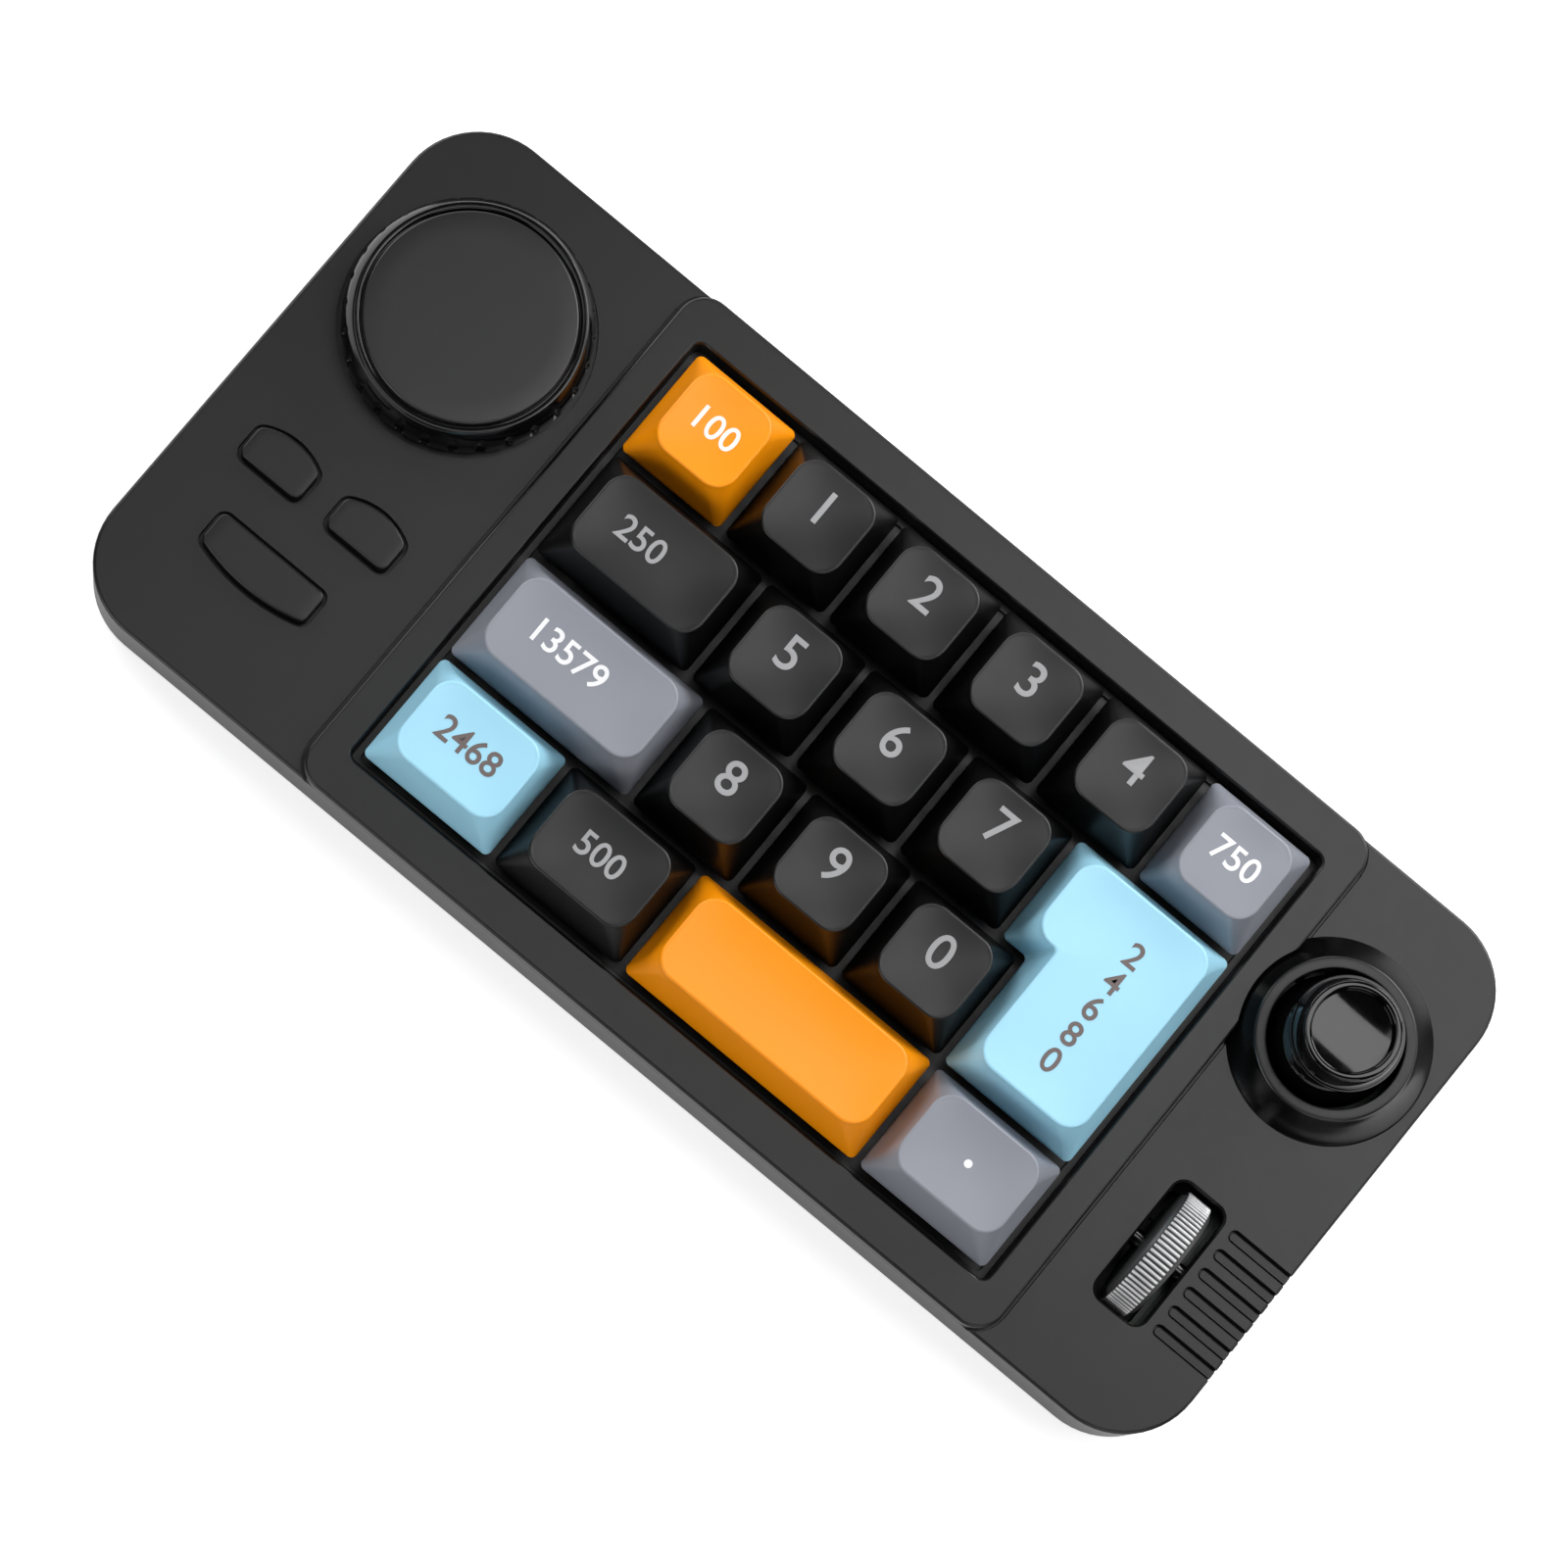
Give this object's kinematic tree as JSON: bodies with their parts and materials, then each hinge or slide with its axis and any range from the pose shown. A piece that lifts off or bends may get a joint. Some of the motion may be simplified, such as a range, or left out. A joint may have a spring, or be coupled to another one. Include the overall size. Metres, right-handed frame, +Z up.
{
  "type": "macro keypad",
  "caption": "Low desk keypad: a block of sculpted keys in a raised frame, with a turning dial and buttons on one wing and a thumb stick and scroll wheel on the other.",
  "frame": {"origin": "centre of the body outline, on the plane that the rubber feet stand on", "axes": "+X along the body towards the wing with the thumb stick, +Y towards the back edge, +Z up"},
  "size_m": [0.1974, 0.0908, 0.0329],
  "materials": {
    "case_black": "fine matte moulded texture",
    "case_under": "matte",
    "frame_black": "fine matte moulded texture",
    "button_black": "matte",
    "dial_gloss": "glossy",
    "dial_matte": "satin",
    "stick_gloss": "glossy",
    "well_gloss": "glossy",
    "wheel_metal": "turned and polished",
    "key_orange": "satin",
    "key_blue": "satin",
    "key_grey": "satin",
    "key_dark": "satin",
    "plate_steel": "black coated",
    "board": "solder mask",
    "chip": "matte",
    "switch_black": "matte",
    "steel": "bright",
    "screw_black": "black zinc",
    "brass": "bright",
    "foot_rubber": "matte"
  },
  "bodies": {
    "root": {"top_cover": "case_black", "bottom_cover": "case_under", "key_frame": "frame_black", "switch_plate": "plate_steel", "main_pcb": "board", "board_chips": "chip", "usb_socket": "steel", "switch_housings": "switch_black", "stabiliser_housings": "switch_black", "case_screws": "screw_black", "plate_screws": "steel", "rubber_feet": "foot_rubber", "dial_encoder": "switch_black", "dial_nut": "brass", "button_switches": "switch_black", "stick_collar": "stick_gloss", "stick_housing": "switch_black", "wheel_holder": "well_gloss", "wheel_encoder": "switch_black"},
    "dial": {"dial_knob": "dial_gloss", "dial_disc": "dial_matte", "dial_shaft": "steel"},
    "left_button": {"button_left": "button_black"},
    "right_button": {"button_right": "button_black"},
    "wide_button": {"button_wide": "button_black"},
    "gimbal": {"stick_gimbal": "steel"},
    "stick": {"stick_cap": "stick_gloss", "stick_post": "steel"},
    "wheel": {"scroll_wheel": "wheel_metal", "wheel_axle": "steel"},
    "key_r1_1": {"keycap_r1_1": "key_orange"},
    "key_r1_2": {"keycap_r1_2": "key_dark"},
    "key_r1_3": {"keycap_r1_3": "key_dark"},
    "key_r1_4": {"keycap_r1_4": "key_dark"},
    "key_r1_5": {"keycap_r1_5": "key_dark"},
    "key_r1_6": {"keycap_r1_6": "key_grey"},
    "key_r2_1": {"keycap_r2_1": "key_dark"},
    "key_r2_2": {"keycap_r2_2": "key_dark"},
    "key_r2_3": {"keycap_r2_3": "key_dark"},
    "key_r2_4": {"keycap_r2_4": "key_dark"},
    "key_r3_1": {"keycap_r3_1": "key_grey"},
    "key_r3_2": {"keycap_r3_2": "key_dark"},
    "key_r3_3": {"keycap_r3_3": "key_dark"},
    "key_r3_4": {"keycap_r3_4": "key_dark"},
    "key_r4_1": {"keycap_r4_1": "key_blue"},
    "key_r4_2": {"keycap_r4_2": "key_dark"},
    "key_r4_3": {"keycap_r4_3": "key_orange"},
    "key_r4_4": {"keycap_r4_4": "key_grey"},
    "key_enter": {"keycap_enter": "key_blue", "keycap_enter_step": "key_blue"}
  },
  "joints": [
    {"name": "key_r1_1_press", "type": "slide", "parent": "root", "child": "key_r1_1", "axis": [0, 0, -1], "range_m": [0, 0.004], "stiffness_N_per_m": 120, "springref_m": -0.0035},
    {"name": "key_r1_2_press", "type": "slide", "parent": "root", "child": "key_r1_2", "axis": [0, 0, -1], "range_m": [0, 0.004], "stiffness_N_per_m": 120, "springref_m": -0.0035},
    {"name": "key_r1_3_press", "type": "slide", "parent": "root", "child": "key_r1_3", "axis": [0, 0, -1], "range_m": [0, 0.004], "stiffness_N_per_m": 120, "springref_m": -0.0035},
    {"name": "key_r1_4_press", "type": "slide", "parent": "root", "child": "key_r1_4", "axis": [0, 0, -1], "range_m": [0, 0.004], "stiffness_N_per_m": 120, "springref_m": -0.0035},
    {"name": "key_r1_5_press", "type": "slide", "parent": "root", "child": "key_r1_5", "axis": [0, 0, -1], "range_m": [0, 0.004], "stiffness_N_per_m": 120, "springref_m": -0.0035},
    {"name": "key_r1_6_press", "type": "slide", "parent": "root", "child": "key_r1_6", "axis": [0, 0, -1], "range_m": [0, 0.004], "stiffness_N_per_m": 120, "springref_m": -0.0035},
    {"name": "key_r2_1_press", "type": "slide", "parent": "root", "child": "key_r2_1", "axis": [0, 0, -1], "range_m": [0, 0.004], "stiffness_N_per_m": 120, "springref_m": -0.0035},
    {"name": "key_r2_2_press", "type": "slide", "parent": "root", "child": "key_r2_2", "axis": [0, 0, -1], "range_m": [0, 0.004], "stiffness_N_per_m": 120, "springref_m": -0.0035},
    {"name": "key_r2_3_press", "type": "slide", "parent": "root", "child": "key_r2_3", "axis": [0, 0, -1], "range_m": [0, 0.004], "stiffness_N_per_m": 120, "springref_m": -0.0035},
    {"name": "key_r2_4_press", "type": "slide", "parent": "root", "child": "key_r2_4", "axis": [0, 0, -1], "range_m": [0, 0.004], "stiffness_N_per_m": 120, "springref_m": -0.0035},
    {"name": "key_r3_1_press", "type": "slide", "parent": "root", "child": "key_r3_1", "axis": [0, 0, -1], "range_m": [0, 0.004], "stiffness_N_per_m": 120, "springref_m": -0.0035},
    {"name": "key_r3_2_press", "type": "slide", "parent": "root", "child": "key_r3_2", "axis": [0, 0, -1], "range_m": [0, 0.004], "stiffness_N_per_m": 120, "springref_m": -0.0035},
    {"name": "key_r3_3_press", "type": "slide", "parent": "root", "child": "key_r3_3", "axis": [0, 0, -1], "range_m": [0, 0.004], "stiffness_N_per_m": 120, "springref_m": -0.0035},
    {"name": "key_r3_4_press", "type": "slide", "parent": "root", "child": "key_r3_4", "axis": [0, 0, -1], "range_m": [0, 0.004], "stiffness_N_per_m": 120, "springref_m": -0.0035},
    {"name": "key_r4_1_press", "type": "slide", "parent": "root", "child": "key_r4_1", "axis": [0, 0, -1], "range_m": [0, 0.004], "stiffness_N_per_m": 120, "springref_m": -0.0035},
    {"name": "key_r4_2_press", "type": "slide", "parent": "root", "child": "key_r4_2", "axis": [0, 0, -1], "range_m": [0, 0.004], "stiffness_N_per_m": 120, "springref_m": -0.0035},
    {"name": "key_r4_3_press", "type": "slide", "parent": "root", "child": "key_r4_3", "axis": [0, 0, -1], "range_m": [0, 0.004], "stiffness_N_per_m": 160, "springref_m": -0.0035},
    {"name": "key_r4_4_press", "type": "slide", "parent": "root", "child": "key_r4_4", "axis": [0, 0, -1], "range_m": [0, 0.004], "stiffness_N_per_m": 120, "springref_m": -0.0035},
    {"name": "key_enter_press", "type": "slide", "parent": "root", "child": "key_enter", "axis": [0, 0, -1], "range_m": [0, 0.004], "stiffness_N_per_m": 160, "springref_m": -0.0035},
    {"name": "left_button_press", "type": "slide", "parent": "root", "child": "left_button", "axis": [0, 0, -1], "range_m": [0, 0.0005], "stiffness_N_per_m": 600, "springref_m": -0.001},
    {"name": "right_button_press", "type": "slide", "parent": "root", "child": "right_button", "axis": [0, 0, -1], "range_m": [0, 0.0005], "stiffness_N_per_m": 600, "springref_m": -0.001},
    {"name": "wide_button_press", "type": "slide", "parent": "root", "child": "wide_button", "axis": [0, 0, -1], "range_m": [0, 0.0005], "stiffness_N_per_m": 600, "springref_m": -0.001},
    {"name": "dial_turn", "type": "hinge", "parent": "root", "child": "dial", "pos_m": [-0.0771, 0.0192, 0.018], "axis": [0, 0, 1], "continuous": true},
    {"name": "stick_tilt_y", "type": "hinge", "parent": "root", "child": "gimbal", "pos_m": [0.082, 0.01945, 0.0145], "axis": [1, 0, 0], "range_deg": [-18, 18], "stiffness_Nm_per_rad": 0.02},
    {"name": "stick_tilt_x", "type": "hinge", "parent": "gimbal", "child": "stick", "pos_m": [0.082, 0.01945, 0.0145], "axis": [0, 1, 0], "range_deg": [-18, 18], "stiffness_Nm_per_rad": 0.02},
    {"name": "wheel_turn", "type": "hinge", "parent": "root", "child": "wheel", "pos_m": [0.082, -0.01955, 0.01175], "axis": [1, 0, 0], "continuous": true}
  ]
}
